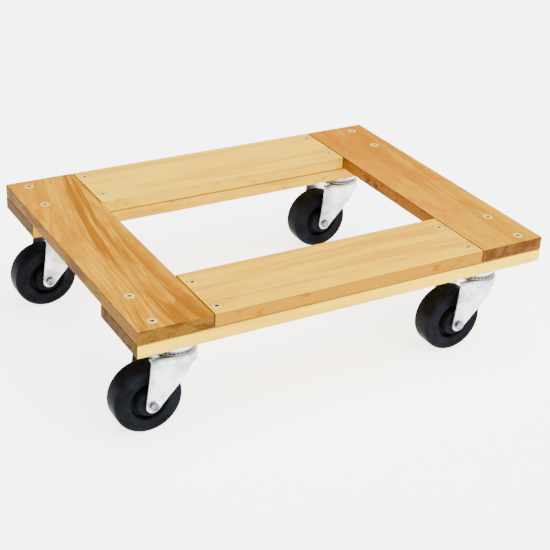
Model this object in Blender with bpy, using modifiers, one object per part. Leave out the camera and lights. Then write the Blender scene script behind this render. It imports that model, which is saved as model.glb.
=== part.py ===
# Four-wheel dolly: an open deck of six boards in two crossed layers, on four swivel plate casters.
# Metres, +Z up, floor at z = 0. The deck's length runs along X, and the casters trail towards -X.
import math

import bmesh
import bpy
from mathutils import Matrix, Vector

# Gap left between pieces that touch on the real dolly
fit_gap = 0.0003

# Deck boards
deck_length = 0.8380
deck_width = 0.6350
end_board_width = 0.1397
rail_width = 0.1524
board_thickness = 0.0254
board_rounding = 0.0018

# Where each kingpin stands: outside the seam between end board and top rail, so that the caster's
# bolts straddle it, and in from the deck's side
kingpin_past_seam = 0.0423
caster_inset_side = 0.0719

# Flat-head mounting bolts, four to a caster, each with its nut
bolt_spacing_x = 0.1185
bolt_spacing_y = 0.0914
bolt_radius = 0.00475
bolt_head_radius = 0.0100
bolt_head_rim = 0.0010
bolt_head_recess = 0.0004
drive_radius = 0.0034
drive_depth = 0.0030
nut_width = 0.0145
nut_height = 0.0060
bolt_tail = 0.0010

# Top plate with its pressed dish
plate_margin_x = 0.0115
plate_margin_y = 0.0115
plate_thickness = 0.0050
plate_corner_radius = 0.0100
dish_radius = 0.0425
dish_depth = 0.0197
dish_floor = 0.0045
dish_bore_radius = 0.0360
dish_taper = 0.0030

# Swivel bearing and kingpin
race_radius = 0.0405
race_width = 0.0090
race_height = 0.0090
king_bolt_radius = 0.0060
king_head_radius = 0.0120
king_head_height = 0.0065
king_nut_width = 0.0210
king_nut_height = 0.0080
king_tail = 0.0015

# Fork, pressed from one sheet
fork_sheet = 0.0032
crown_radius = 0.0438
crown_rounding = 0.0050
crown_rear_half_width = 0.0270
skirt_depth = 0.0195
skirt_start = 0.0190
fork_half_width = 0.0385
fork_flare_start = 0.0155
fork_tip_radius = 0.0133
leg_top_reach = 0.0026
caster_trail = 0.0518

# Wheel with its hub
wheel_radius = 0.0635
wheel_top_clearance = 0.0213
tread_half_width = 0.0145
shoulder_radius = 0.0088
rim_inner_radius = 0.0350
hub_boss_radius = 0.0250
hub_boss_reach = 0.0060
web_half_width = 0.0120
hub_end_radius = 0.0135

# Axle
sleeve_radius = 0.0082
axle_radius = 0.0050
axle_head_width = 0.0150
axle_head_height = 0.0058
axle_nut_height = 0.0080
axle_tail = 0.0030

# Facets on round pieces
wheel_facets = 36
crown_facets = 28
round_facets = 16
bolt_facets = 12

# The kingpin's distance in from the deck's end
caster_inset_end = end_board_width - kingpin_past_seam

# Heights that follow from the stack, floor to deck
crown_low = 2 * wheel_radius + wheel_top_clearance
crown_top = crown_low + fork_sheet
race_low = crown_top + fit_gap
dish_low = race_low + race_height + fit_gap
plate_low = dish_low + dish_depth
plate_top = plate_low + plate_thickness
lower_low = plate_top + fit_gap
lower_top = lower_low + board_thickness
upper_low = lower_top + fit_gap
deck_top = upper_low + board_thickness

# The trailing wheels reach past the deck's left end, and the origin is the middle of the whole
# footprint, so the deck's middle lies this far towards +X
deck_x = max(0.0, wheel_radius + caster_trail - caster_inset_end) / 2

corners = {
    "front_left": (-1, -1),
    "front_right": (1, -1),
    "back_left": (-1, 1),
    "back_right": (1, 1),
}

materials = {
    "pale_wood": ((0.83, 0.60, 0.28), 0.50, 0.0),
    "brown_wood": ((0.62, 0.36, 0.12), 0.48, 0.0),
    "zinc": ((0.78, 0.79, 0.80), 0.24, 1.0),
    "bolt_steel": ((0.70, 0.69, 0.66), 0.32, 1.0),
    "race_steel": ((0.30, 0.30, 0.31), 0.42, 1.0),
    "black_tread": ((0.012, 0.012, 0.014), 0.22, 0.0),
    "sleeve_steel": ((0.55, 0.55, 0.56), 0.35, 1.0),
}


def clear_scene():
    for old in list(bpy.data.objects):
        bpy.data.objects.remove(old)


def make_collection(name):
    collection = bpy.data.collections.new(name)
    bpy.context.scene.collection.children.link(collection)
    return collection


def make_material(name):
    colour, roughness, metallic = materials[name]
    material = bpy.data.materials.get(name) or bpy.data.materials.new(name)
    material.use_nodes = True
    shader = material.node_tree.nodes["Principled BSDF"]
    shader.inputs["Base Color"].default_value = (*colour, 1.0)
    shader.inputs["Roughness"].default_value = roughness
    shader.inputs["Metallic"].default_value = metallic
    return material


def new_object(name, mesh, collection):
    piece = bpy.data.objects.new(name, mesh)
    collection.objects.link(piece)
    return piece


def box(name, low, high):
    # A cube primitive stretched between two corners
    low, high = Vector(low), Vector(high)
    mesh = bpy.data.meshes.new(name)
    shape = bmesh.new()
    bmesh.ops.create_cube(shape, size=1.0)
    bmesh.ops.scale(shape, vec=high - low, verts=shape.verts)
    bmesh.ops.translate(shape, vec=(low + high) / 2, verts=shape.verts)
    shape.to_mesh(mesh)
    shape.free()
    return new_object(name, mesh, shapes)


def cylinder(name, radius_low, radius_high, z_low, z_high, facets, place=(0.0, 0.0)):
    # A cone primitive with caps, upright at place
    mesh = bpy.data.meshes.new(name)
    shape = bmesh.new()
    bmesh.ops.create_cone(
        shape,
        cap_ends=True,
        segments=facets,
        radius1=radius_low,
        radius2=radius_high,
        depth=z_high - z_low,
    )
    bmesh.ops.translate(shape, vec=(*place, (z_low + z_high) / 2), verts=shape.verts)
    shape.to_mesh(mesh)
    shape.free()
    return new_object(name, mesh, shapes)


def turned(name, profile, facets, upright=False, closed=False):
    # A profile of (radius, height) pairs, top to bottom down its outer side, spun by a Screw
    points = [(r, 0.0, h) for r, h in profile]
    edges = [(i, i + 1) for i in range(len(points) - 1)]
    if closed:
        edges.append((len(points) - 1, 0))
    mesh = bpy.data.meshes.new(name)
    mesh.from_pydata(points, edges, [])
    piece = new_object(name, mesh, shapes)
    screw = piece.modifiers.new("Spin", "SCREW")
    screw.axis = "Z"
    screw.steps = facets
    screw.render_steps = facets
    screw.use_merge_vertices = True
    screw.merge_threshold = 0.00001
    settle(piece)
    if upright:
        piece.data.transform(Matrix.Rotation(math.pi / 2, 4, "X"))
    return piece


def flat_piece(name, outlines, low, high, upright=False):
    # A filled 2D curve given thickness; later outlines are holes in the first
    curve = bpy.data.curves.new(name, "CURVE")
    curve.dimensions = "2D"
    curve.fill_mode = "BOTH"
    curve.extrude = (high - low) / 2
    for outline in outlines:
        spline = curve.splines.new("POLY")
        spline.points.add(len(outline) - 1)
        for point, (x, y) in zip(spline.points, outline):
            point.co = (x, y, 0.0, 1.0)
        spline.use_cyclic_u = True
    drawn = new_object(name, curve, shapes)
    graph = bpy.context.evaluated_depsgraph_get()
    mesh = bpy.data.meshes.new_from_object(drawn.evaluated_get(graph))
    bpy.data.objects.remove(drawn)
    mesh.transform(Matrix.Translation((0.0, 0.0, (low + high) / 2)))
    if upright:
        mesh.transform(Matrix.Rotation(math.pi / 2, 4, "X"))
    shape = bmesh.new()
    shape.from_mesh(mesh)
    bmesh.ops.remove_doubles(shape, verts=shape.verts, dist=0.000005)
    bmesh.ops.recalc_face_normals(shape, faces=shape.faces)
    shape.to_mesh(mesh)
    shape.free()
    return new_object(name, mesh, shapes)


def settle(piece):
    # Keep the evaluated shape as the piece's own mesh and drop its modifiers
    graph = bpy.context.evaluated_depsgraph_get()
    mesh = bpy.data.meshes.new_from_object(piece.evaluated_get(graph))
    piece.modifiers.clear()
    piece.data = mesh
    return piece


def combine(piece, others, operation):
    # One exact Boolean for each other shape, which is then no longer needed
    for other in others:
        step = piece.modifiers.new(operation.title(), "BOOLEAN")
        step.operation = operation
        step.solver = "EXACT"
        step.object = other
    settle(piece)
    for other in others:
        bpy.data.objects.remove(other)
    return piece


def round_top_edges(piece, height, radius, steps):
    # Bevel the edges that lie at one height, such as the rim of a pressed cup
    shape = bmesh.new()
    shape.from_mesh(piece.data)
    level = [v for v in shape.verts if abs(v.co.z - height) < 0.00001]
    bmesh.ops.dissolve_limit(
        shape,
        angle_limit=math.radians(1.0),
        verts=level,
        edges=[e for e in shape.edges if e.verts[0] in level and e.verts[1] in level],
    )
    rim = [
        e
        for e in shape.edges
        if all(abs(v.co.z - height) < 0.00001 for v in e.verts) and e.calc_face_angle(0.0) > 0.5
    ]
    bmesh.ops.bevel(shape, geom=rim, offset=radius, segments=steps, profile=0.5, affect="EDGES")
    shape.to_mesh(piece.data)
    shape.free()
    return piece


def finish(piece, name, material, parent=None, smooth_angle=40.0):
    # Name the settled piece, give it its material and hang it on its parent
    piece.name = name
    mesh = piece.data
    mesh.name = name
    mesh.materials.clear()
    mesh.materials.append(make_material(material))
    mesh.shade_smooth()
    mesh.set_sharp_from_angle(angle=math.radians(smooth_angle))
    shapes.objects.unlink(piece)
    parts.objects.link(piece)
    piece.parent = parent
    return piece


def arc(centre, radius, start, end, steps):
    # Points from one angle to another, in degrees
    angles = [math.radians(start + (end - start) * i / steps) for i in range(steps + 1)]
    return [(centre[0] + radius * math.cos(a), centre[1] + radius * math.sin(a)) for a in angles]


def circle(radius, facets, centre=(0.0, 0.0)):
    return arc(centre, radius, 0.0, 360.0, facets)[:-1]


def hexagon(width):
    return circle(width / math.sqrt(3), 6)


def rounded_rectangle(half_x, half_y, radius, steps=4):
    points = []
    for sx, sy, start in ((1, 1, 0), (-1, 1, 90), (-1, -1, 180), (1, -1, 270)):
        centre = (sx * (half_x - radius), sy * (half_y - radius))
        points += arc(centre, radius, start, start + 90, steps)
    return points


def tangent_point(outside, centre, radius, side):
    # Where a straight edge from an outside point touches a circle
    dx, dy = outside[0] - centre[0], outside[1] - centre[1]
    reach = math.atan2(dy, dx) + side * math.acos(radius / math.hypot(dx, dy))
    return math.degrees(reach)


def bolt_places():
    # The four bolts of one caster, about its kingpin
    return [
        (i * bolt_spacing_x / 2, j * bolt_spacing_y / 2)
        for j in (-1, 1)
        for i in (-1, 1)
    ]


def kingpin_place(corner):
    side_x, side_y = corners[corner]
    return (
        deck_x + side_x * (deck_length / 2 - caster_inset_end),
        side_y * (deck_width / 2 - caster_inset_side),
    )


def bolt_hole_cutters(gap):
    # The space of every mounting bolt through the deck, head and shank, grown by the gap
    head = bolt_head_radius + gap
    shank = bolt_radius + gap
    rim_low = deck_top - bolt_head_recess - bolt_head_rim - gap * math.tan(math.pi / 8)
    profile = [
        (0.0, deck_top + board_thickness),
        (head, deck_top + board_thickness),
        (head, rim_low),
        (shank, rim_low - (head - shank)),
        (shank, plate_low - board_thickness),
        (0.0, plate_low - board_thickness),
    ]
    cutter = turned("bolt_holes", profile, bolt_facets)
    joined = bmesh.new()
    for corner in corners:
        kingpin = Vector((*kingpin_place(corner), 0.0))
        for place in bolt_places():
            one = cutter.data.copy()
            one.transform(Matrix.Translation(kingpin + Vector((*place, 0.0))))
            joined.from_mesh(one)
            bpy.data.meshes.remove(one)
    joined.to_mesh(cutter.data)
    joined.free()
    shapes.objects.unlink(cutter)
    cutters.objects.link(cutter)
    cutter.hide_render = True
    cutter.display_type = "WIRE"
    return cutter


def make_board(name, low, high, material, cutter):
    board = box(name, low, high)
    edges = board.modifiers.new("Eased edges", "BEVEL")
    edges.width = board_rounding
    edges.segments = 2
    edges.limit_method = "ANGLE"
    holes = board.modifiers.new("Bolt holes", "BOOLEAN")
    holes.operation = "DIFFERENCE"
    holes.solver = "EXACT"
    holes.object = cutter
    return finish(settle(board), name, material)


def make_deck(cutter):
    # Upper layer: an end board across each end and two top rails between them.
    # Lower layer: a full-length rail under each long side.
    left, right = deck_x - deck_length / 2, deck_x + deck_length / 2
    front, back = -deck_width / 2, deck_width / 2
    for side, start, end in (("left", left, left + end_board_width), ("right", right - end_board_width, right)):
        low, high = (start, front, upper_low), (end, back, deck_top)
        make_board(f"{side}_end_board", low, high, "brown_wood", cutter)
    for side, start, end in (("front", front, front + rail_width), ("back", back - rail_width, back)):
        inner_left = left + end_board_width + fit_gap
        inner_right = right - end_board_width - fit_gap
        low, high = (inner_left, start, upper_low), (inner_right, end, deck_top)
        make_board(f"{side}_top_rail", low, high, "pale_wood", cutter)
        low, high = (left, start, lower_low), (right, end, lower_top)
        make_board(f"{side}_lower_rail", low, high, "pale_wood", cutter)


def make_mounting_bolt():
    # Head and shank in one turning, with the nut's hexagon joined to the shank
    top = deck_top - bolt_head_recess
    neck = top - bolt_head_rim - (bolt_head_radius - bolt_radius)
    nut_top = plate_low - fit_gap
    nut_low = nut_top - nut_height
    profile = [
        (0.0, top - drive_depth),
        (drive_radius, top),
        (bolt_head_radius, top),
        (bolt_head_radius, top - bolt_head_rim),
        (bolt_radius, neck),
        (bolt_radius, nut_low - bolt_tail),
        (0.0, nut_low - bolt_tail),
    ]
    bolt = turned("mounting_bolt", profile, bolt_facets)
    nut = flat_piece("nut", [hexagon(nut_width)], nut_low, nut_top)
    return combine(bolt, [nut], "UNION")


def make_plate():
    # Flat plate with a dish pressed down in its middle, which leaves room for the kingpin's head
    half_x = bolt_spacing_x / 2 + plate_margin_x
    half_y = bolt_spacing_y / 2 + plate_margin_y
    outline = rounded_rectangle(half_x, half_y, plate_corner_radius)
    plate = flat_piece("plate", [outline], plate_low, plate_top)
    dish = cylinder(
        "dish",
        dish_radius,
        dish_radius + dish_taper / 2,
        dish_low,
        plate_low + plate_thickness / 2,
        crown_facets,
    )
    hollow = cylinder(
        "hollow",
        dish_bore_radius,
        dish_bore_radius + dish_taper,
        dish_low + dish_floor,
        plate_top + plate_thickness,
        crown_facets,
    )
    bore = cylinder(
        "bore",
        king_bolt_radius + fit_gap,
        king_bolt_radius + fit_gap,
        dish_low - dish_floor,
        dish_low + 2 * dish_floor,
        round_facets,
    )
    holes = [
        cylinder(
            f"hole_{number}",
            bolt_radius + fit_gap,
            bolt_radius + fit_gap,
            plate_low - plate_thickness,
            plate_top + plate_thickness,
            bolt_facets,
            place,
        )
        for number, place in enumerate(bolt_places())
    ]
    combine(plate, [dish], "UNION")
    return combine(plate, [hollow, bore, *holes], "DIFFERENCE")


def make_ball_race():
    # The ring of balls and their retainer, between the dish and the fork's crown
    outer, inner = race_radius, race_radius - race_width
    top, middle, low = race_low + race_height, race_low + race_height / 2, race_low
    bulge = race_width / 5
    profile = [
        (outer - bulge, top),
        (outer, middle + bulge),
        (outer, middle - bulge),
        (outer - bulge, low),
        (inner, low),
        (inner, top),
    ]
    return turned("ball_race", profile, crown_facets, closed=True)


def make_king_bolt():
    head_low = dish_low + dish_floor + fit_gap
    end = crown_low - fit_gap - king_nut_height - king_tail
    profile = [
        (0.0, head_low + king_head_height),
        (king_head_radius * 0.8, head_low + king_head_height),
        (king_head_radius, head_low + king_head_height * 0.6),
        (king_head_radius, head_low),
        (king_bolt_radius, head_low),
        (king_bolt_radius, end),
        (0.0, end),
    ]
    return turned("king_bolt", profile, round_facets)


def make_king_nut():
    top = crown_low - fit_gap
    hole = circle(king_bolt_radius + fit_gap, round_facets)
    return flat_piece("king_nut", [hexagon(king_nut_width), hole], top - king_nut_height, top)


def fork_outline(radius, half_width, rear):
    # The fork seen from above: flat legs at the rear flare out to a round crown
    flare = (fork_flare_start - caster_trail, -half_width)
    touch = tangent_point(flare, (0.0, 0.0), radius, 1)
    round_front = arc((0.0, 0.0), radius, touch, -touch, crown_facets)
    return [(rear, -half_width), flare, *round_front, (flare[0], half_width), (rear, half_width)]


def leg_outline():
    # The fork seen from the side: rear edge, rounded tip, diagonal front edge and skirt
    axle = (-caster_trail, wheel_radius)
    above = crown_top + crown_rounding
    past_front = crown_radius + crown_rounding
    rear_top = (axle[0] - leg_top_reach, above)
    skirt_low = crown_top - skirt_depth
    skirt_corner = (skirt_start, skirt_low)
    rear_touch = tangent_point(rear_top, axle, fork_tip_radius, 1)
    front_touch = tangent_point(skirt_corner, axle, fork_tip_radius, -1)
    tip = arc(axle, fork_tip_radius, rear_touch, front_touch + 360.0, 12)
    return [rear_top, *tip, skirt_corner, (past_front, skirt_low), (past_front, above)]


def make_fork():
    # A hollow cup on a crown, cut to the leg outline, then bored for the kingpin and the axle
    low = wheel_radius - 2 * fork_tip_radius
    rear = -caster_trail - wheel_radius
    outer = flat_piece("fork", [fork_outline(crown_radius, fork_half_width, rear)], low, crown_top)
    round_top_edges(outer, crown_top, crown_rounding, 2)
    inside = fork_outline(crown_radius - fork_sheet, fork_half_width - fork_sheet, 2 * rear)
    hollow = flat_piece("hollow", [inside], low - fork_tip_radius, crown_low)
    round_top_edges(hollow, crown_low, crown_rounding - fork_sheet, 1)
    side = flat_piece("side", [leg_outline()], -2 * crown_radius, 2 * crown_radius, upright=True)
    king_hole = cylinder(
        "king_hole",
        king_bolt_radius + fit_gap,
        king_bolt_radius + fit_gap,
        crown_low - fork_sheet,
        crown_top + fork_sheet,
        round_facets,
    )
    axle_hole = cylinder(
        "axle_hole",
        axle_radius + fit_gap,
        axle_radius + fit_gap,
        -2 * fork_half_width,
        2 * fork_half_width,
        round_facets,
    )
    axle_hole.data.transform(Matrix.Rotation(math.pi / 2, 4, "X"))
    axle_hole.data.transform(Matrix.Translation((-caster_trail, 0.0, wheel_radius)))
    behind = box(
        "behind",
        (rear, -crown_rear_half_width, crown_low - fork_sheet),
        (0.0, crown_rear_half_width, crown_top + fork_sheet),
    )
    kept = cylinder("kept", crown_radius, crown_radius, 0.0, 2 * crown_top, 2 * crown_facets)
    combine(behind, [kept], "DIFFERENCE")
    combine(outer, [hollow], "DIFFERENCE")
    combine(outer, [side], "INTERSECT")
    return combine(outer, [king_hole, axle_hole, behind], "DIFFERENCE")


def wheel_half_profile():
    # From the tread's middle out over the shoulder, across the side and in to the hub's end
    side = tread_half_width + shoulder_radius
    shoulder = [
        (r, y)
        for y, r in arc(
            (tread_half_width, wheel_radius - shoulder_radius), shoulder_radius, 90.0, 0.0, 3
        )
    ]
    hub_end = fork_half_width - fork_sheet - fit_gap
    return [
        *shoulder,
        (rim_inner_radius, side),
        (rim_inner_radius, web_half_width),
        (hub_boss_radius, web_half_width),
        (hub_boss_radius, side + hub_boss_reach),
        (hub_end_radius, side + hub_boss_reach),
        (hub_end_radius, hub_end),
        (sleeve_radius + fit_gap, hub_end),
    ]


def make_wheel():
    # Turned about Y, with its middle at the object's origin
    half = wheel_half_profile()
    low_half = [(r, -y) for r, y in reversed(half)]
    return turned("wheel", half[::-1] + low_half[::-1], wheel_facets, upright=True, closed=True)


def make_axle_sleeve():
    reach = fork_half_width - fork_sheet - fit_gap
    outer, inner = sleeve_radius, axle_radius + fit_gap
    profile = [(outer, reach), (outer, -reach), (inner, -reach), (inner, reach)]
    return turned("axle_sleeve", profile, round_facets, upright=True, closed=True)


def make_axle_bolt():
    # Hexagon head on the front side, shank through both legs
    seat = fork_half_width + fit_gap
    end = seat + axle_nut_height + axle_tail
    shank = flat_piece(
        "axle_bolt", [circle(axle_radius, round_facets)], -end, seat + axle_head_height / 2, upright=True
    )
    head = flat_piece("head", [hexagon(axle_head_width)], seat, seat + axle_head_height, upright=True)
    return combine(shank, [head], "UNION")


def make_axle_nut():
    seat = fork_half_width + fit_gap
    outlines = [hexagon(axle_head_width), circle(axle_radius + fit_gap, round_facets)]
    return flat_piece("axle_nut", outlines, -seat - axle_nut_height, -seat, upright=True)


def add_empty(name, place, parent=None):
    empty = bpy.data.objects.new(name, None)
    empty.empty_display_size = 0.02
    empty.location = place
    empty.parent = parent
    parts.objects.link(empty)
    return empty


def copy_piece(source, name, parent, place=(0.0, 0.0, 0.0)):
    piece = source.copy()
    piece.name = name
    piece.parent = parent
    piece.location = place
    parts.objects.link(piece)
    return piece


def make_casters():
    # Each piece is made once and copied to every corner, on an empty at that corner's kingpin
    fixed = {
        "plate": (make_plate(), "zinc"),
        "ball_race": (make_ball_race(), "race_steel"),
        "king_bolt": (make_king_bolt(), "bolt_steel"),
        "king_nut": (make_king_nut(), "bolt_steel"),
    }
    bolt = finish(make_mounting_bolt(), "mounting_bolt", "bolt_steel")
    swivelling = {"fork": (make_fork(), "zinc")}
    on_axle = {
        "axle_bolt": (make_axle_bolt(), "bolt_steel"),
        "axle_nut": (make_axle_nut(), "bolt_steel"),
        "axle_sleeve": (make_axle_sleeve(), "sleeve_steel"),
        "wheel": (make_wheel(), "black_tread"),
    }
    groups = (fixed, swivelling, on_axle)
    masters = {
        kind: finish(piece, kind, material)
        for group in groups
        for kind, (piece, material) in group.items()
    }
    axle_place = (-caster_trail, 0.0, wheel_radius)
    for corner in corners:
        caster = add_empty(f"{corner}_caster", (*kingpin_place(corner), 0.0))
        swivel = add_empty(f"{corner}_swivel", (0.0, 0.0, 0.0), caster)
        for kind in fixed:
            copy_piece(masters[kind], f"{corner}_{kind}", caster)
        for number, place in enumerate(bolt_places(), start=1):
            copy_piece(bolt, f"{corner}_bolt_{number}", caster, (*place, 0.0))
        for kind in swivelling:
            copy_piece(masters[kind], f"{corner}_{kind}", swivel)
        for kind in on_axle:
            copy_piece(masters[kind], f"{corner}_{kind}", swivel, axle_place)
    for master in (bolt, *masters.values()):
        bpy.data.objects.remove(master)


clear_scene()
parts = make_collection("four_wheel_dolly")
shapes = make_collection("working_shapes")
cutters = make_collection("cutters")
hole_cutter = bolt_hole_cutters(fit_gap)
make_deck(hole_cutter)
make_casters()
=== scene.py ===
# Four-wheel dolly with grained boards, bright zinc casters and glossy black wheels
import math

import bmesh
import bpy
from mathutils import Matrix, Vector


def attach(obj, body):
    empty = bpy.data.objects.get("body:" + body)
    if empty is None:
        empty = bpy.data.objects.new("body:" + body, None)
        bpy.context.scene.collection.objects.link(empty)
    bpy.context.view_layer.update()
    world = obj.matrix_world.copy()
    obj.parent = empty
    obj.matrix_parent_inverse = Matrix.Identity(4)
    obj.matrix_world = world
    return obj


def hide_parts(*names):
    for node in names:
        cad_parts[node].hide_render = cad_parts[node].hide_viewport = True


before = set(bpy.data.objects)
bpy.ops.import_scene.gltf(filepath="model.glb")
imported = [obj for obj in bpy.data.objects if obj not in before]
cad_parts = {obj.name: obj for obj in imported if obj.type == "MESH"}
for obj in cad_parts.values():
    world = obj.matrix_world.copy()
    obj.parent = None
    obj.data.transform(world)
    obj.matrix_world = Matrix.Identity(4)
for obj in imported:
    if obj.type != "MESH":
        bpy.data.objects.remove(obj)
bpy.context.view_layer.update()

# Dimensions that the pieces share with the frame, in metres
shared = {
    "deckMiddle": 0.00895,
    "deckLength": 0.838,
    "deckWidth": 0.635,
    "endBoardWidth": 0.1397,
    "railWidth": 0.1524,
    "boardThickness": 0.0254,
    "deckTop": 0.2372,
    "gap": 0.0003,
    "kingpinX": 0.3216,
    "kingpinY": 0.2456,
    "boltSpacingX": 0.1185,
    "boltSpacingY": 0.0914,
    "plateLow": 0.1808,
    "plateTop": 0.1858,
    "dishLow": 0.1611,
    "raceLow": 0.1518,
    "crownTop": 0.1515,
    "crownLow": 0.1483,
    "trail": 0.0518,
    "axleHeight": 0.0635,
    "legHalfWidth": 0.0385,
    "sheet": 0.0032,
}

corners = {
    "front_left": (-1, -1),
    "front_right": (1, -1),
    "back_left": (-1, 1),
    "back_right": (1, 1),
}

past = 0.01  # how far a cutter reaches beyond what it cuts
weld = 0.000002  # points closer than this become one


# Helpers for shapes
def camel(words):
    first, *rest = words.split("_")
    return first + "".join(word.title() for word in rest)


def kingpin(corner):
    sideX, sideY = corners[corner]
    x, y = shared["deckMiddle"] + sideX * shared["kingpinX"], sideY * shared["kingpinY"]
    return Vector((x, y, 0.0))


def pieceFrom(shape, name):
    mesh = bpy.data.meshes.new(name)
    shape.to_mesh(mesh)
    shape.free()
    piece = bpy.data.objects.new(name, mesh)
    bpy.context.scene.collection.objects.link(piece)
    return piece


def settle(piece):
    # Keep the modified shape as the piece's own mesh
    graph = bpy.context.evaluated_depsgraph_get()
    mesh = bpy.data.meshes.new_from_object(piece.evaluated_get(graph))
    piece.modifiers.clear()
    piece.data = mesh
    return piece


def combine(piece, others, operation="DIFFERENCE"):
    for other in others:
        step = piece.modifiers.new(operation.title(), "BOOLEAN")
        step.operation = operation
        step.solver = "EXACT"
        step.object = other
    settle(piece)
    for other in others:
        bpy.data.objects.remove(other)
    return piece


def softenEdges(piece, width, segments, angle):
    step = piece.modifiers.new("Soft edges", "BEVEL")
    step.width = width
    step.segments = segments
    step.limit_method = "ANGLE"
    step.angle_limit = math.radians(angle)
    settle(piece)


def shadeEvenly(piece, angle=35.0):
    # Smooth shading that stays flat on the wide faces
    piece.data.shade_smooth()
    piece.data.set_sharp_from_angle(angle=math.radians(angle))
    even = piece.modifiers.new("Even shading", "WEIGHTED_NORMAL")
    even.keep_sharp = True
    even.weight = 60
    return settle(piece)


def spun(name, profile, steps, closed=False, alongY=False):
    # A profile of (radius, height) pairs, turned about its axis
    shape = bmesh.new()
    points = [shape.verts.new((radius, 0.0, height)) for radius, height in profile]
    lines = [shape.edges.new(pair) for pair in zip(points, points[1:])]
    if closed:
        lines.append(shape.edges.new((points[-1], points[0])))
    bmesh.ops.spin(
        shape,
        geom=points + lines,
        cent=(0.0, 0.0, 0.0),
        axis=(0.0, 0.0, 1.0),
        angle=2 * math.pi,
        steps=steps,
        use_merge=True,
    )
    bmesh.ops.remove_doubles(shape, verts=shape.verts, dist=weld)
    bmesh.ops.recalc_face_normals(shape, faces=shape.faces)
    if alongY:
        bmesh.ops.rotate(shape, verts=shape.verts, matrix=Matrix.Rotation(math.pi / 2, 3, "X"))
    return pieceFrom(shape, name)


def slab(name, outline, low, high, rim=0.0, segments=1, upright=False):
    # One flat outline pulled up to a thickness, with its upper rim rounded
    shape = bmesh.new()
    face = shape.faces.new([shape.verts.new((x, y, low)) for x, y in outline])
    pulled = bmesh.ops.extrude_face_region(shape, geom=[face])["geom"]
    risen = [item for item in pulled if isinstance(item, bmesh.types.BMVert)]
    bmesh.ops.translate(shape, verts=risen, vec=(0.0, 0.0, high - low))
    bmesh.ops.recalc_face_normals(shape, faces=shape.faces)
    if rim:
        middle = (low + high) / 2
        top = [edge for edge in shape.edges if all(end.co.z > middle for end in edge.verts)]
        bmesh.ops.bevel(
            shape,
            geom=top,
            offset=rim,
            segments=segments,
            profile=0.5,
            affect="EDGES",
            material=-1,
        )
    if upright:
        bmesh.ops.rotate(shape, verts=shape.verts, matrix=Matrix.Rotation(math.pi / 2, 3, "X"))
    return pieceFrom(shape, name)


def block(name, low, high, edge=0.0, segments=2):
    shape = bmesh.new()
    low, high = Vector(low), Vector(high)
    bmesh.ops.create_cube(shape, size=1.0)
    bmesh.ops.scale(shape, vec=high - low, verts=shape.verts)
    bmesh.ops.translate(shape, vec=(low + high) / 2, verts=shape.verts)
    if edge:
        bmesh.ops.bevel(
            shape,
            geom=shape.edges[:],
            offset=edge,
            segments=segments,
            profile=0.5,
            affect="EDGES",
            material=-1,
        )
    return pieceFrom(shape, name)


def rod(name, radius, low, high, steps, place=(0.0, 0.0), alongY=False, radiusTop=None):
    shape = bmesh.new()
    bmesh.ops.create_cone(
        shape,
        cap_ends=True,
        segments=steps,
        radius1=radius,
        radius2=radius if radiusTop is None else radiusTop,
        depth=high - low,
    )
    bmesh.ops.translate(shape, vec=(0.0, 0.0, (low + high) / 2), verts=shape.verts)
    if alongY:
        bmesh.ops.rotate(shape, verts=shape.verts, matrix=Matrix.Rotation(math.pi / 2, 3, "X"))
    bmesh.ops.translate(shape, vec=(*place, 0.0), verts=shape.verts)
    return pieceFrom(shape, name)


def arc(centre, radius, start, end, steps):
    angles = [math.radians(start + (end - start) * step / steps) for step in range(steps + 1)]
    x, y = centre
    return [(x + radius * math.cos(angle), y + radius * math.sin(angle)) for angle in angles]


def around(corner, steps):
    # Points of a profile, as steps outwards and upwards from one corner
    return [(corner[0] + out, corner[1] + up) for out, up in steps]


def touchAngle(outside, centre, radius, side):
    # Where a straight line from a point touches a circle, as an angle
    dx, dy = outside[0] - centre[0], outside[1] - centre[1]
    return math.degrees(math.atan2(dy, dx) + side * math.acos(radius / math.hypot(dx, dy)))


def copyTo(master, name, place):
    piece = bpy.data.objects.new(name, master.data.copy())
    piece.data.transform(Matrix.Translation(place))
    bpy.context.scene.collection.objects.link(piece)
    return piece


def dress(piece, material, body, node):
    # Give the piece its finish and let it stand for its node of the frame
    piece.data.materials.clear()
    piece.data.materials.append(material)
    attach(piece, body)
    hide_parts(node)


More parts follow.
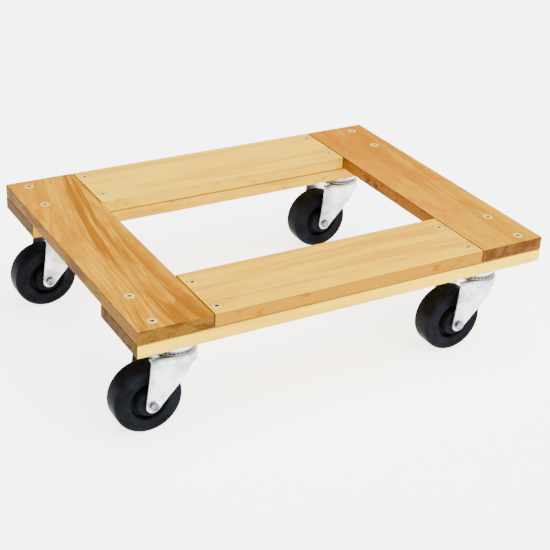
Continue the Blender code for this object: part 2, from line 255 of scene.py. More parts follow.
# Helpers for materials
class Finish:
    # A material whose nodes are added one after another
    def __init__(self, name):
        self.material = bpy.data.materials.new(name)
        self.material.use_nodes = True
        self.tree = self.material.node_tree
        self.shader = self.tree.nodes["Principled BSDF"]

    def add(self, kind, inputs=None, **options):
        node = self.tree.nodes.new(kind)
        for option, value in options.items():
            setattr(node, option, value)
        for socket, value in (inputs or {}).items():
            self.feed(node.inputs[socket], value)
        return node

    def feed(self, socket, value):
        if isinstance(value, bpy.types.NodeSocket):
            self.tree.links.new(value, socket)
        else:
            socket.default_value = value

    def mapped(self, vector, scale=(1, 1, 1), move=(0, 0, 0), turn=(0, 0, 0), kind="POINT"):
        inputs = {"Vector": vector, "Location": move, "Rotation": turn, "Scale": scale}
        return self.add("ShaderNodeMapping", inputs, vector_type=kind).outputs["Vector"]

    def surface(self, socket, value):
        self.feed(self.shader.inputs[socket], value)

    def noise(self, vector, scale, detail, roughness, output="Fac"):
        inputs = {"Vector": vector, "Scale": scale, "Detail": detail, "Roughness": roughness}
        return self.add("ShaderNodeTexNoise", inputs).outputs[output]

    def vector(self, operation, first, second):
        node = self.add("ShaderNodeVectorMath", {0: first, 1: second}, operation=operation)
        single = operation in ("DISTANCE", "DOT_PRODUCT")
        return node.outputs["Value" if single else "Vector"]

    def reckon(self, operation, first, second=0.0, third=0.0, clamp=False):
        inputs = {0: first, 1: second, 2: third}
        node = self.add("ShaderNodeMath", inputs, operation=operation, use_clamp=clamp)
        return node.outputs[0]

    def ranged(self, value, low, high, newLow=0.0, newHigh=1.0, smooth=True):
        inputs = {
            "Value": value,
            "From Min": low,
            "From Max": high,
            "To Min": newLow,
            "To Max": newHigh,
        }
        kind = "SMOOTHSTEP" if smooth else "LINEAR"
        return self.add("ShaderNodeMapRange", inputs, interpolation_type=kind).outputs["Result"]

    def blend(self, factor, first, second, way="MIX"):
        node = self.add("ShaderNodeMix", data_type="RGBA", blend_type=way)
        self.feed(node.inputs["Factor"], factor)
        self.feed(node.inputs["A"], first)
        self.feed(node.inputs["B"], second)
        return node.outputs["Result"]

    def shades(self, value, stops):
        # A ramp of greys, its stops given as place and brightness
        node = self.add("ShaderNodeValToRGB", {"Fac": value})
        band = node.color_ramp
        while len(band.elements) < len(stops):
            band.elements.new(0.5)
        for element, (place, grey) in zip(band.elements, stops):
            element.position = place
            element.color = (grey, grey, grey, 1.0)
        return node.outputs["Color"]

    def bump(self, height, strength, distance):
        inputs = {"Height": height, "Strength": strength, "Distance": distance}
        node = self.add("ShaderNodeBump", inputs)
        self.surface("Normal", node.outputs["Normal"])


def rgb(red, green, blue):
    # A colour as it looks on a screen, 0 to 255, made linear
    def linear(value):
        value /= 255.0
        return value / 12.92 if value <= 0.04045 else ((value + 0.055) / 1.055) ** 2.4

    return (linear(red), linear(green), linear(blue), 1.0)


# Camera, floor and light
print("stage")

view = {
    "focalPixels": 1269.93,
    "imagePixels": 550.0,
    "centrePixels": (265.0, 235.0),
    "azimuth": 239.519,
    "elevation": 26.164,
    "roll": 2.736,
    "offset": (0.004357, 0.164094, 2.568424),
    "sensorWidth": 36.0,
    "clipEnd": 50.0,
}

azimuth, elevation, roll = (math.radians(view[key]) for key in ("azimuth", "elevation", "roll"))
level = math.cos(elevation)
backward = Vector((level * math.cos(azimuth), level * math.sin(azimuth), math.sin(elevation)))
levelRight = Vector((-math.sin(azimuth), math.cos(azimuth), 0.0))
levelUp = backward.cross(levelRight)
rightward = math.cos(roll) * levelRight + math.sin(roll) * levelUp
upward = -math.sin(roll) * levelRight + math.cos(roll) * levelUp
across, above, away = view["offset"]
deckMiddle = Vector((shared["deckMiddle"], 0.0, 0.0))
stand = backward * away + rightward * across + upward * above + deckMiddle
turn = Matrix((rightward, upward, backward)).transposed().to_4x4()

lens = bpy.data.cameras.new("photoView")
lens.sensor_width = view["sensorWidth"]
lens.lens = view["focalPixels"] / view["imagePixels"] * lens.sensor_width
lens.shift_x = 0.5 - view["centrePixels"][0] / view["imagePixels"]
lens.shift_y = view["centrePixels"][1] / view["imagePixels"] - 0.5
lens.clip_end = view["clipEnd"]
camera = bpy.data.objects.new("photoView", lens)
camera.matrix_world = Matrix.Translation(stand) @ turn
bpy.context.scene.collection.objects.link(camera)
bpy.context.scene.camera = camera

white = (1.0, 1.0, 1.0, 1.0)
studio = {
    "floorReach": 14.0,
    "floorFinish": {
        "Base Color": (0.92, 0.92, 0.92, 1.0),
        "Roughness": 0.9,
        "Specular IOR Level": 0.1,
        "Emission Color": white,
        "Emission Strength": 3.4,
    },
    "worldStrength": 0.45,
    "overhead": {"from": (0.25, -0.30, 1.0), "strength": 8.2, "spread": 70.0},
    "softbox": {"place": (1.4, -2.8, 1.5), "aim": (0.0, 0.0, 0.15), "size": 1.2, "watts": 34.0},
}

shape = bmesh.new()
bmesh.ops.create_grid(shape, x_segments=1, y_segments=1, size=studio["floorReach"])
floor = pieceFrom(shape, "paleFloor")
paleFloor = Finish("paleFloor")
for socket, value in studio["floorFinish"].items():
    paleFloor.surface(socket, value)
floor.data.materials.append(paleFloor.material)

world = bpy.data.worlds.new("studio")
bpy.context.scene.world = world
world.use_nodes = True
background = world.node_tree.nodes["Background"]
background.inputs["Color"].default_value = white
background.inputs["Strength"].default_value = studio["worldStrength"]

sky = studio["overhead"]
overhead = bpy.data.lights.new("overhead", "SUN")
overhead.energy = sky["strength"]
overhead.angle = math.radians(sky["spread"])
overheadHolder = bpy.data.objects.new("overhead", overhead)
towardsSun = Vector(sky["from"])
overheadHolder.rotation_euler = towardsSun.to_track_quat("Z", "Y").to_euler()
bpy.context.scene.collection.objects.link(overheadHolder)

box = studio["softbox"]
softbox = bpy.data.lights.new("frontRight", "AREA")
softbox.shape = "DISK"
softbox.size = box["size"]
softbox.energy = box["watts"]
softboxHolder = bpy.data.objects.new("frontRight", softbox)
softboxHolder.location = box["place"]
aim = Vector(box["aim"]) - Vector(box["place"])
softboxHolder.rotation_euler = aim.to_track_quat("-Z", "Y").to_euler()
bpy.context.scene.collection.objects.link(softboxHolder)


# Deck boards
print("boards")

evenFigure = {"outer": (0.9, 0.8), "inner": (-0.9, -0.8), "elsewhere": 1.0}
noStain = {"place": (0.0, 0.0, 0.0), "reach": 0.050, "share": 0.0}
topRail = {
    "end": (0.150, 0.070, 0.012, 1.0),
    "endDark": (0.080, 0.034, 0.006, 1.0),
    "figure": evenFigure,
    "streaks": {
        "across": 30.0, "shift": 0.0, "share": 0.75,
        "low": 0.46, "high": 0.64, "thin": 0.45,
    },
    "stain": noStain,
    "seams": ((1, 0, 0), (-1, 0, 0), (0, 0, -1)),
}
lowerRail = {
    "light": (0.90, 0.560, 0.020, 1.0),
    "warm": (0.90, 0.480, 0.020, 1.0),
    "dark": (0.62, 0.320, 0.010, 1.0),
    "end": (0.085, 0.040, 0.006, 1.0),
    "endDark": (0.042, 0.018, 0.003, 1.0),
    "figure": evenFigure,
    "spread": {"middle": 0.0, "fan": 0.0, "lean": 0.01, "arch": 0.05, "archMiddle": 0.1},
    "streaks": {
        "across": 22.0, "shift": 0.0, "share": 0.45,
        "low": 0.46, "high": 0.64, "thin": 0.45,
    },
    "patches": {"scale": (9.0, 26.0), "share": 0.50, "low": 0.43, "high": 0.64, "drift": 0.0},
    "stain": noStain,
    "seams": ((0, 0, 1), (0, 0, -1)),
}

# Looks of each board: its colours, where its figure lies and the seams beside its neighbours; the
# side colours are partly painted shade
boardLooks = {
    "left_end_board": {
        "light": (0.66, 0.315, 0.006, 1.0),
        "warm": (0.47, 0.185, 0.004, 1.0),
        "dark": (0.245, 0.078, 0.003, 1.0),
        "side": (0.165, 0.079, 0.010, 1.0),
        "sideDark": (0.078, 0.031, 0.005, 1.0),
        "end": (0.155, 0.073, 0.010, 1.0),
        "endDark": (0.080, 0.032, 0.006, 1.0),
        "figure": {"outer": (0.072, 0.056), "inner": (-0.024, 0.000), "elsewhere": 0.36},
        "spread": {"middle": -0.035, "fan": 1.5, "lean": 0.138, "arch": 0.34, "archMiddle": 0.06},
        "rings": {"spacing": 0.0085, "share": 0.50, "pith": (-0.038, -0.052), "slope": 0.055},
        "streaks": {
            "across": 44.0, "shift": -1.1, "share": 0.90,
            "low": 0.42, "high": 0.60, "thin": 0.65,
        },
        "patches": {"scale": (9.0, 26.0), "share": 0.80, "low": 0.42, "high": 0.60, "drift": 0.0},
        "stain": {"place": (-0.280, -0.045, 0.0), "reach": 0.055, "share": 0.60},
        "seams": ((1, 0, 0), (0, 0, -1)),
        "seed": 1.7,
    },
    "right_end_board": {
        "light": (0.60, 0.285, 0.005, 1.0),
        "warm": (0.55, 0.182, 0.003, 1.0),
        "dark": (0.30, 0.110, 0.004, 1.0),
        "side": (0.215, 0.078, 0.009, 1.0),
        "sideDark": (0.060, 0.022, 0.004, 1.0),
        "end": (0.130, 0.052, 0.012, 1.0),
        "endDark": (0.070, 0.026, 0.007, 1.0),
        "figure": evenFigure,
        "spread": {"middle": 0.0, "fan": 0.0, "lean": 0.03, "arch": 0.10, "archMiddle": 0.0},
        "rings": {"spacing": 0.0065, "share": 0.14, "pith": (-0.150, -0.050), "slope": 0.020},
        "streaks": {
            "across": 34.0, "shift": 0.0, "share": 0.50,
            "low": 0.44, "high": 0.64, "thin": 0.45,
        },
        "patches": {
            "scale": (17.0, 34.0), "share": 0.95,
            "low": 0.40, "high": 0.60, "drift": 0.40,
        },
        "stain": {"place": (0.200, 0.020, 0.0), "reach": 0.110, "share": 0.30},
        "seams": ((-1, 0, 0), (0, 0, -1)),
        "seed": 5.3,
    },
    "front_top_rail": {
        **topRail,
        "light": (0.90, 0.530, 0.010, 1.0),
        "warm": (0.90, 0.430, 0.010, 1.0),
        "dark": (0.58, 0.270, 0.005, 1.0),
        "side": (0.360, 0.160, 0.003, 1.0),
        "sideDark": (0.250, 0.100, 0.002, 1.0),
        "spread": {"middle": 0.0, "fan": 0.0, "lean": 0.01, "arch": 0.05, "archMiddle": 0.1},
        "rings": {"spacing": 0.0090, "share": 0.22, "pith": (0.100, -0.090), "slope": 0.030},
        "patches": {"scale": (9.0, 26.0), "share": 0.75, "low": 0.43, "high": 0.62, "drift": 0.0},
        "seed": 9.1,
    },
    "back_top_rail": {
        **topRail,
        "light": (0.92, 0.580, 0.020, 1.0),
        "warm": (0.92, 0.480, 0.020, 1.0),
        "dark": (0.64, 0.330, 0.010, 1.0),
        "side": (0.620, 0.360, 0.005, 1.0),
        "sideDark": (0.450, 0.210, 0.003, 1.0),
        "spread": {"middle": 0.0, "fan": 0.0, "lean": -0.01, "arch": -0.05, "archMiddle": 0.0},
        "rings": {"spacing": 0.0090, "share": 0.22, "pith": (-0.060, -0.070), "slope": -0.020},
        "patches": {"scale": (9.0, 26.0), "share": 0.70, "low": 0.43, "high": 0.62, "drift": 0.0},
        "seed": 13.9,
    },
    "front_lower_rail": {
        **lowerRail,
        "side": (0.880, 0.590, 0.012, 1.0),
        "sideDark": (0.700, 0.400, 0.006, 1.0),
        "rings": {"spacing": 0.0080, "share": 0.25, "pith": (0.050, 0.100), "slope": 0.020},
        "seed": 21.2,
    },
    "back_lower_rail": {
        **lowerRail,
        "side": (0.580, 0.330, 0.005, 1.0),
        "sideDark": (0.400, 0.185, 0.003, 1.0),
        "rings": {"spacing": 0.0080, "share": 0.25, "pith": (0.030, 0.080), "slope": 0.015},
        "seed": 27.6,
    },
}

# Patterns that all boards share, with scales along, across and through a board
woodGrain = {
    "wander": {"scale": (2.6, 8.0, 8.0), "detail": 2.0, "roughness": 0.5, "reach": 0.022},
    "uneven": {"scale": (4.0, 36.0, 36.0), "detail": 3.0, "roughness": 0.6, "wobble": 0.9},
    "soft": {"along": 1.9, "detail": 3.0, "roughness": 0.6},
    "thin": {"along": 3.2, "finer": 4, "detail": 3.0, "roughness": 0.6, "band": (0.45, 0.68)},
    "broad": {"detail": 4.0, "roughness": 0.65},
    "fibres": {"scale": (9.0, 420.0, 420.0), "detail": 4.0, "roughness": 0.65},
    "pores": {"scale": (28.0, 900.0, 900.0), "detail": 2.0, "roughness": 0.5},
    "blotches": {"scale": (30.0, 60.0, 60.0), "detail": 3.0, "roughness": 0.6},
    "lateWood": ((0.0, 0.35), (0.10, 0.0), (0.40, 0.10), (0.88, 1.0)),  # place in a ring, strength
    "fibreDimming": {"band": (0.28, 0.62), "share": 0.30},
    "poreDimming": {"band": (0.62, 0.74), "share": 0.35, "colour": (0.5, 0.34, 0.2, 1.0)},
    "stain": {"ragged": -0.08, "core": 0.4},
    "cuts": {"facing": (0.5, 0.8), "streaks": (0.42, 0.66), "blotches": (0.52, 0.72)},
    "ends": {"rings": 0.6, "blotches": (0.40, 0.66)},
    # Painted shade for the grooves where boards meet
    "seams": {
        "colour": (0.085, 0.034, 0.008, 1.0),
        "facing": (0.05, 0.30), "rounded": (0.93, 0.985), "share": 0.60,
    },
    "gloss": {"fibres": (0.3, 0.7), "roughness": (0.55, 0.40), "specular": 0.01},
    "relief": {"fibres": 0.6, "rings": -0.4, "strength": 0.35, "distance": 0.0004},
}


def woodFinish(name, look, centre, along):
    wood = Finish(name)
    seed = look["seed"]
    coordinates = wood.add("ShaderNodeTexCoord")
    quarter = math.pi / 2 if along == "Y" else 0.0
    grain = wood.mapped(
        coordinates.outputs["Object"], move=centre, turn=(0.0, 0.0, quarter), kind="TEXTURE"
    )

    def pattern(kind, vector, move, scale=None, output="Fac"):
        settings = woodGrain[kind]
        stretched = wood.mapped(vector, scale or settings["scale"], move)
        return wood.noise(stretched, 1.0, settings["detail"], settings["roughness"], output)

    # The grain wanders slowly, so every pattern is read at a place shifted a little
    reach = woodGrain["wander"]["reach"]
    wander = pattern("wander", grain, (seed, seed * 2, 0.0), output="Color")
    offset = wood.vector("SUBTRACT", wander, (0.5, 0.5, 0.5))
    offset = wood.vector("MULTIPLY", offset, (0.0, reach, reach))
    shifted = wood.vector("ADD", grain, offset)
    place = wood.add("ShaderNodeSeparateXYZ", {0: shifted})
    lengthwise, crosswise, upright = (place.outputs[axis] for axis in "XYZ")

    # Streaks lean and arch across the board and spread like a fan towards its front end
    spread = look["spread"]
    widening = wood.reckon("MULTIPLY_ADD", lengthwise, spread["fan"], 1.0)
    fromMiddle = wood.reckon("SUBTRACT", crosswise, spread["middle"])
    fanned = wood.reckon("MULTIPLY", fromMiddle, widening)
    fanned = wood.reckon("MULTIPLY_ADD", lengthwise, spread["lean"], fanned)
    fromArch = wood.reckon("SUBTRACT", lengthwise, spread["archMiddle"])
    arching = wood.reckon("MULTIPLY", fromArch, spread["arch"])
    fanned = wood.reckon("MULTIPLY_ADD", fromArch, arching, fanned)
    axes = {"X": lengthwise, "Y": fanned, "Z": upright}
    bent = wood.add("ShaderNodeCombineXYZ", axes).outputs["Vector"]

    # Growth rings about a pith that leans along the board
    rings = look["rings"]
    aside = wood.reckon("SUBTRACT", crosswise, rings["pith"][0])
    deep = wood.reckon("MULTIPLY_ADD", lengthwise, rings["slope"], -rings["pith"][1])
    deep = wood.reckon("ADD", deep, upright)
    distance = wood.reckon("MULTIPLY_ADD", aside, aside, wood.reckon("MULTIPLY", deep, deep))
    uneven = pattern("uneven", grain, (0.0, seed, 3.0))
    distance = wood.reckon("SQRT", distance)
    count = wood.reckon("MULTIPLY_ADD", distance, 1.0 / rings["spacing"], seed)
    count = wood.reckon("MULTIPLY_ADD", uneven, woodGrain["uneven"]["wobble"], count)
    late = wood.shades(wood.reckon("FRACT", count), woodGrain["lateWood"])
    late = wood.reckon("MULTIPLY", late, rings["share"])

    # Long soft streaks, strongest where the board's figure is
    streaks = look["streaks"]
    across, finer = streaks["across"], streaks["across"] * woodGrain["thin"]["finer"]
    softScale = (woodGrain["soft"]["along"], across, across)
    thinScale = (woodGrain["thin"]["along"], finer, finer)
    soft = pattern("soft", bent, (seed, streaks["shift"], seed), softScale)
    thin = pattern("thin", bent, (0.0, seed, 0.0), thinScale)
    streak = wood.ranged(soft, streaks["low"], streaks["high"])
    thin = wood.ranged(thin, *woodGrain["thin"]["band"])
    streak = wood.reckon("MULTIPLY_ADD", thin, streaks["thin"], streak, clamp=True)
    streak = wood.reckon("MULTIPLY", streak, streaks["share"])
    figure = look["figure"]
    inside = wood.ranged(fanned, *figure["outer"])
    inside = wood.reckon("MULTIPLY", inside, wood.ranged(fanned, *figure["inner"]))
    inside = wood.ranged(inside, 0.0, 1.0, figure["elsewhere"], 1.0, smooth=False)
    mark = wood.reckon("MULTIPLY", wood.reckon("MAXIMUM", late, streak), inside)

    # Broad warm patches, fine fibres and short dark pores
    patches = look["patches"]
    alongScale, acrossScale = patches["scale"]
    broadScale = (alongScale, acrossScale, acrossScale)
    broad = pattern("broad", bent, (seed * 3, 0.0, seed), broadScale)
    broad = wood.reckon("MULTIPLY_ADD", lengthwise, patches["drift"], broad)
    broad = wood.ranged(broad, patches["low"], patches["high"], 0.0, patches["share"])
    fibres = pattern("fibres", grain, (seed, 0.0, 0.0))
    pores = pattern("pores", grain, (0.0, seed, 0.0))
    fibreDimming, poreDimming = woodGrain["fibreDimming"], woodGrain["poreDimming"]
    dimming = wood.ranged(fibres, *fibreDimming["band"], fibreDimming["share"], 0.0)
    colour = wood.blend(broad, look["light"], look["warm"])

    # A cloudy stain, on the boards that have one
    stain, stainShape = look["stain"], woodGrain["stain"]
    away = wood.vector("DISTANCE", shifted, stain["place"])
    cloudy = wood.reckon("SUBTRACT", uneven, 0.5)
    cloudy = wood.reckon("MULTIPLY_ADD", cloudy, stainShape["ragged"], away)
    core = stain["reach"] * stainShape["core"]
    cloudy = wood.ranged(cloudy, stain["reach"], core, 0.0, stain["share"])
    colour = wood.blend(cloudy, colour, look["dark"])
    colour = wood.blend(mark, colour, look["dark"])
    colour = wood.blend(dimming, colour, look["dark"])

    # Cut ends drink more finish and come out darker; the sides are darker partly from their grain
    # and partly as painted shade, for the less light that falls on them than on the top
    normal = coordinates.outputs["Normal"]
    facing = wood.add("ShaderNodeSeparateXYZ", {0: normal})
    alongFacing = wood.reckon("ABSOLUTE", facing.outputs[along])
    acrossFacing = wood.reckon("ABSOLUTE", facing.outputs["X" if along == "Y" else "Y"])
    blotch = pattern("blotches", bent, (seed, seed, 0.0))
    cuts, cutEnds = woodGrain["cuts"], woodGrain["ends"]
    shade = wood.reckon("MAXIMUM", wood.ranged(soft, *cuts["streaks"]), dimming)
    shade = wood.reckon("MAXIMUM", shade, wood.ranged(blotch, *cuts["blotches"]))
    # The side colours hold painted shade as well as the wood's own tone
    shadedSides = wood.blend(shade, look["side"], look["sideDark"])
    endBlotch = wood.ranged(blotch, *cutEnds["blotches"])
    ends = wood.reckon("MULTIPLY_ADD", late, cutEnds["rings"], endBlotch, clamp=True)
    ends = wood.blend(ends, look["end"], look["endDark"])
    colour = wood.blend(wood.ranged(acrossFacing, *cuts["facing"]), colour, shadedSides)
    colour = wood.blend(wood.ranged(alongFacing, *cuts["facing"]), colour, ends)
    poreShare = wood.ranged(pores, *poreDimming["band"], 0.0, poreDimming["share"])
    colour = wood.blend(poreShare, colour, poreDimming["colour"], "MULTIPLY")

    # Painted shade: rounded edges are darkened where one board meets another, for the shade in the
    # groove between them
    seams = woodGrain["seams"]
    upFacing = wood.reckon("ABSOLUTE", facing.outputs["Z"])
    flatness = wood.reckon("MAXIMUM", upFacing, wood.reckon("MAXIMUM", alongFacing, acrossFacing))
    seamShade = 0.0
    for direction in look["seams"]:
        towards = wood.vector("DOT_PRODUCT", normal, direction)
        seamShade = wood.reckon("MAXIMUM", seamShade, wood.ranged(towards, *seams["facing"]))
    rounded = wood.ranged(flatness, *seams["rounded"], seams["share"], 0.0)
    colour = wood.blend(wood.reckon("MULTIPLY", seamShade, rounded), colour, seams["colour"])

    gloss, relief = woodGrain["gloss"], woodGrain["relief"]
    roughness = wood.ranged(fibres, *gloss["fibres"], *gloss["roughness"], smooth=False)
    wood.surface("Base Color", colour)
    wood.surface("Roughness", roughness)
    wood.surface("Specular IOR Level", gloss["specular"])
    height = wood.reckon("MULTIPLY", late, relief["rings"])
    height = wood.reckon("MULTIPLY_ADD", fibres, relief["fibres"], height)
    wood.bump(height, relief["strength"], relief["distance"])
    return wood.material


boardEdges = {"rounding": 0.0022, "segments": 4, "sharpAngle": 50.0}
boltHeads = {"radius": 0.0100, "recess": 0.0004, "rim": 0.0010, "shank": 0.00475}
boltHoles = {"mouth": ((0.0009, 0.0001), (0.0, -0.0005)), "steps": 32}
left = shared["deckMiddle"] - shared["deckLength"] / 2
right = shared["deckMiddle"] + shared["deckLength"] / 2
upperLow = shared["deckTop"] - shared["boardThickness"]
lowerTop = upperLow - shared["gap"]
lowerLow = lowerTop - shared["boardThickness"]


def boltPlaces():
    # The four bolts of a caster, from its kingpin
    halfX, halfY = shared["boltSpacingX"] / 2, shared["boltSpacingY"] / 2
    return [(sideX * halfX, sideY * halfY, 0.0) for sideY in (-1, 1) for sideX in (-1, 1)]


def boltHoleCutter():
    # Shank holes with countersinks for every bolt head, as one shape
    top, grow = shared["deckTop"], shared["gap"]
    head, shank = boltHeads["radius"] + grow, boltHeads["shank"] + grow
    rimLow = top - boltHeads["recess"] - boltHeads["rim"]
    mouth = around((head, top), boltHoles["mouth"])
    profile = [
        (0.0, top + past),
        (mouth[0][0], top + past),
        *mouth,
        (head, rimLow),
        (shank, rimLow - (head - shank)),
        (shank, shared["plateLow"]),
        (0.0, shared["plateLow"]),
    ]
    one = spun("boltHole", profile, boltHoles["steps"])
    joined = bmesh.new()
    for corner in corners:
        for place in boltPlaces():
            mesh = one.data.copy()
            mesh.transform(Matrix.Translation(kingpin(corner) + Vector(place)))
            joined.from_mesh(mesh)
            bpy.data.meshes.remove(mesh)
    bpy.data.objects.remove(one)
    return pieceFrom(joined, "boltHoles")


def makeBoards():
    front, back = -shared["deckWidth"] / 2, shared["deckWidth"] / 2
    frontInner, backInner = front + shared["railWidth"], back - shared["railWidth"]
    endWidth, gap, top = shared["endBoardWidth"], shared["gap"], shared["deckTop"]
    innerLeft, innerRight = left + endWidth + gap, right - endWidth - gap
    boards = {
        # node: (low corner, high corner, length axis)
        "left_end_board": ((left, front, upperLow), (left + endWidth, back, top), "Y"),
        "right_end_board": ((right - endWidth, front, upperLow), (right, back, top), "Y"),
        "front_top_rail": ((innerLeft, front, upperLow), (innerRight, frontInner, top), "X"),
        "back_top_rail": ((innerLeft, backInner, upperLow), (innerRight, back, top), "X"),
        "front_lower_rail": ((left, front, lowerLow), (right, frontInner, lowerTop), "X"),
        "back_lower_rail": ((left, backInner, lowerLow), (right, back, lowerTop), "X"),
    }
    for node, (low, high, along) in boards.items():
        name = camel(node)
        board = block(name, low, high, boardEdges["rounding"], boardEdges["segments"])
        combine(board, [boltHoleCutter()])
        shadeEvenly(board, boardEdges["sharpAngle"])
        centre = tuple((Vector(low) + Vector(high)) / 2)
        wood = woodFinish(name + "Wood", boardLooks[node], centre, along)
        dress(board, wood, "deck", node)


makeBoards()

# Metal and rubber finishes
print("finishes")

metalLooks = {
    "brightZinc": {
        "colour": rgb(216, 219, 222),
        "cloudColour": rgb(140, 146, 154),
        "roughness": (0.34, 0.46), "clouds": 24.0, "relief": 0.10,
    },
    "boltZinc": {
        "colour": rgb(255, 214, 104),
        "cloudColour": rgb(232, 188, 84),
        "roughness": (0.42, 0.55), "clouds": 90.0, "relief": 0.12, "metallic": 0.4,
        # Painted shade for the drive recess of each bolt
        "grime": {"colour": rgb(44, 32, 18), "top": (0.2366, 0.2358), "low": (0.190, 0.194)},
    },
    "axleZinc": {
        "colour": rgb(132, 135, 139),
        "cloudColour": rgb(66, 68, 72),
        "roughness": (0.34, 0.50), "clouds": 160.0, "relief": 0.18,
    },
    "darkRace": {
        "colour": rgb(118, 118, 120),
        "cloudColour": rgb(78, 78, 80),
        "roughness": (0.30, 0.50), "clouds": 60.0, "relief": 0.15,
    },
    "turnedSleeve": {
        "colour": rgb(190, 190, 192),
        "cloudColour": rgb(160, 160, 162),
        "roughness": (0.28, 0.40), "clouds": 80.0, "relief": 0.10,
    },
}
metalTexture = {"finer": 14.0, "tones": (0.35, 0.68), "gloss": (0.3, 0.7), "bumpDepth": 0.0002}


def metalFinish(name, look):
    metal = Finish(name)
    place = metal.add("ShaderNodeTexCoord").outputs["Object"]
    cloud = metal.noise(place, look["clouds"], detail=4.0, roughness=0.6)
    fineScale = look["clouds"] * metalTexture["finer"]
    fine = metal.noise(place, fineScale, detail=3.0, roughness=0.6)
    clouding = metal.ranged(cloud, *metalTexture["tones"])
    tone = metal.blend(clouding, look["colour"], look["cloudColour"])
    if "grime" in look:
        # Painted shade: darker between two heights, inside the drive recess of each bolt
        grime = look["grime"]
        height = metal.add("ShaderNodeSeparateXYZ", {0: place}).outputs["Z"]
        shadedRecess = metal.ranged(height, *grime["top"])
        shadedRecess = metal.reckon("MULTIPLY", shadedRecess, metal.ranged(height, *grime["low"]))
        tone = metal.blend(shadedRecess, tone, grime["colour"])
    rough = metal.ranged(cloud, *metalTexture["gloss"], *look["roughness"], smooth=False)
    metal.surface("Base Color", tone)
    metal.surface("Roughness", rough)
    metal.surface("Metallic", look.get("metallic", 1.0))
    metal.bump(fine, look["relief"], metalTexture["bumpDepth"])
    return metal.material


rubberLook = {
    "colour": rgb(13, 14, 17),
    "cloudColour": rgb(22, 24, 30),
    "roughness": (0.26, 0.38),
    "specular": 0.008,
    "clouds": 30.0,
    "specks": 900.0,
    "tones": (0.35, 0.7),
    "gloss": (0.3, 0.7),
    "relief": 0.08,
    "bumpDepth": 0.0002,
}


def rubberFinish(name, look):
    rubber = Finish(name)
    place = rubber.add("ShaderNodeTexCoord").outputs["Object"]
    cloud = rubber.noise(place, look["clouds"], detail=4.0, roughness=0.6)
    fine = rubber.noise(place, look["specks"], detail=3.0, roughness=0.6)
    clouding = rubber.ranged(cloud, *look["tones"])
    tone = rubber.blend(clouding, look["colour"], look["cloudColour"])
    rough = rubber.ranged(cloud, *look["gloss"], *look["roughness"], smooth=False)
    rubber.surface("Base Color", tone)
    rubber.surface("Roughness", rough)
    rubber.surface("Specular IOR Level", look["specular"])
    rubber.bump(fine, look["relief"], look["bumpDepth"])
    return rubber.material


finishes = {name: metalFinish(name, look) for name, look in metalLooks.items()}
finishes["blackWheel"] = rubberFinish("blackWheel", rubberLook)

# Caster pieces, each made once about the kingpin and copied to every corner
print("casters")

layDown = Matrix.Rotation(math.pi / 2, 4, "X")
toAxle = Matrix.Translation((-shared["trail"], 0.0, shared["axleHeight"]))

forkShape = {
    "crownRadius": 0.0438,
    "crownRounding": 0.0050,
    "crownRearHalfWidth": 0.0270,
    "skirtDepth": 0.0195,
    "skirtStart": 0.0190,
    "flareStart": 0.0155,
    "tipRadius": 0.0133,
    "legTopReach": 0.0026,
    "blankRear": 0.0635,
    "kingHole": 0.0063,
    "axleHole": 0.0053,
    "crownSteps": 96,
    "roundingSteps": (6, 4),
    "holeSteps": 32,
    "edge": {"width": 0.0006, "segments": 2, "angle": 45.0},
    "drawnPast": 0.005,  # how far the legs' side outline goes past the crown
    "cutterReach": 0.1,
    "sharpAngle": 40.0,
}


def forkOutline(radius, halfWidth, rear):
    flare = (forkShape["flareStart"] - shared["trail"], -halfWidth)
    touch = touchAngle(flare, (0.0, 0.0), radius, 1)
    crown = arc((0.0, 0.0), radius, touch, -touch, forkShape["crownSteps"])
    return [(rear, -halfWidth), flare, *crown, (flare[0], halfWidth), (rear, halfWidth)]


def makeFork():
    f = forkShape
    sheet, top, crownLow = shared["sheet"], shared["crownTop"], shared["crownLow"]
    axle = (-shared["trail"], shared["axleHeight"])
    low, rear = axle[1] - 2 * f["tipRadius"], axle[0] - f["blankRear"]
    radius, half, rearHalf = f["crownRadius"], shared["legHalfWidth"], f["crownRearHalfWidth"]
    outerSteps, innerSteps = f["roundingSteps"]
    fork = slab("fork", forkOutline(radius, half, rear), low, top, f["crownRounding"], outerSteps)
    inside = forkOutline(radius - sheet, half - sheet, 2 * rear)
    hollowRounding = f["crownRounding"] - sheet
    hollow = slab("hollow", inside, low - past, crownLow, hollowRounding, innerSteps)

    # The legs' shape from the side: rear edge, round tip, slanting front edge and skirt
    above, pastFront = top + f["drawnPast"], radius + f["drawnPast"]
    rearTop = (axle[0] - f["legTopReach"], above)
    skirtLow = top - f["skirtDepth"]
    skirtCorner = (f["skirtStart"], skirtLow)
    start = touchAngle(rearTop, axle, f["tipRadius"], 1)
    end = touchAngle(skirtCorner, axle, f["tipRadius"], -1) + 360.0
    tip = arc(axle, f["tipRadius"], start, end, f["holeSteps"])
    sideOutline = [rearTop, *tip, skirtCorner, (pastFront, skirtLow), (pastFront, above)]
    wide = f["cutterReach"]
    side = slab("side", sideOutline, -wide, wide, upright=True)

    kingHole = rod("kingHole", f["kingHole"], top - 2 * past, top + 2 * past, f["holeSteps"])
    axleHole = rod("axleHole", f["axleHole"], -wide, wide, f["holeSteps"], alongY=True)
    axleHole.data.transform(toAxle)
    behind = block("behind", (rear, -rearHalf, crownLow - sheet), (0.0, rearHalf, top + sheet))
    kept = rod("kept", radius, 0.0, 2 * top, 2 * f["crownSteps"])
    combine(behind, [kept])
    combine(fork, [hollow])
    combine(fork, [side], "INTERSECT")
    combine(fork, [kingHole, axleHole, behind])
    softenEdges(fork, **f["edge"])
    return shadeEvenly(fork, f["sharpAngle"])


